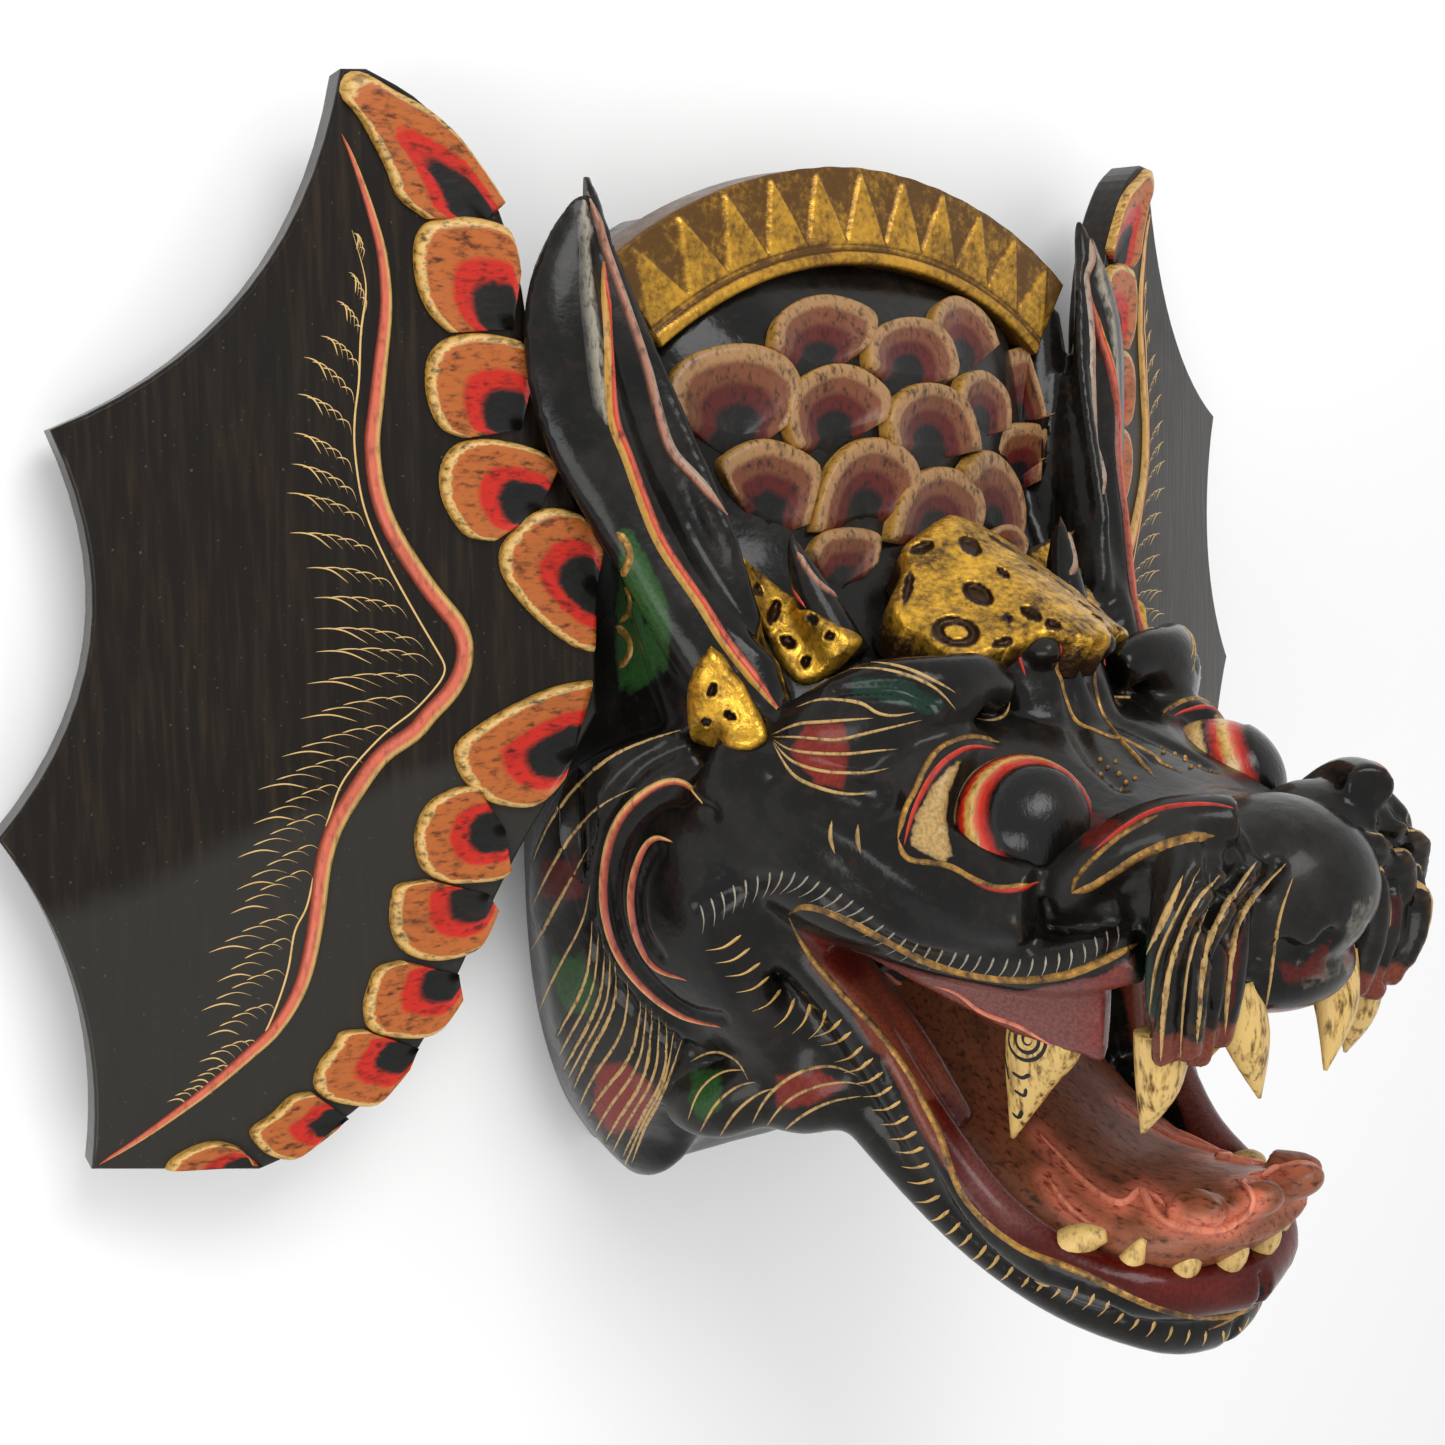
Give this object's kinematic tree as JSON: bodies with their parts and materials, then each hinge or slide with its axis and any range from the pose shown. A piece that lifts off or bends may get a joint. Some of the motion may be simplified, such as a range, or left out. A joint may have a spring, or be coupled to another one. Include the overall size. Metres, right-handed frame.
{
  "type": "carved mask",
  "caption": "Carved and painted dragon head mask with a flat hollow back, an open fanged mouth, upright ears, a crown band and two bat-like wing boards.",
  "frame": {"origin": "on the floor under the middle of the box round the mask, which lies on its flat back", "axes": "+X across the face, +Y from the chin to the crown, +Z out of the face along the snout"},
  "size_m": [0.6004, 0.3937, 0.2712],
  "materials": {
    "head_lacquer": "gloss paint and worn gold on carved wood",
    "wing_lacquer": "brushed paint and worn gold on carved wood"
  },
  "bodies": {
    "root": {"head": "head_lacquer", "wing_left": "wing_lacquer", "wing_right": "wing_lacquer"}
  },
  "joints": []
}
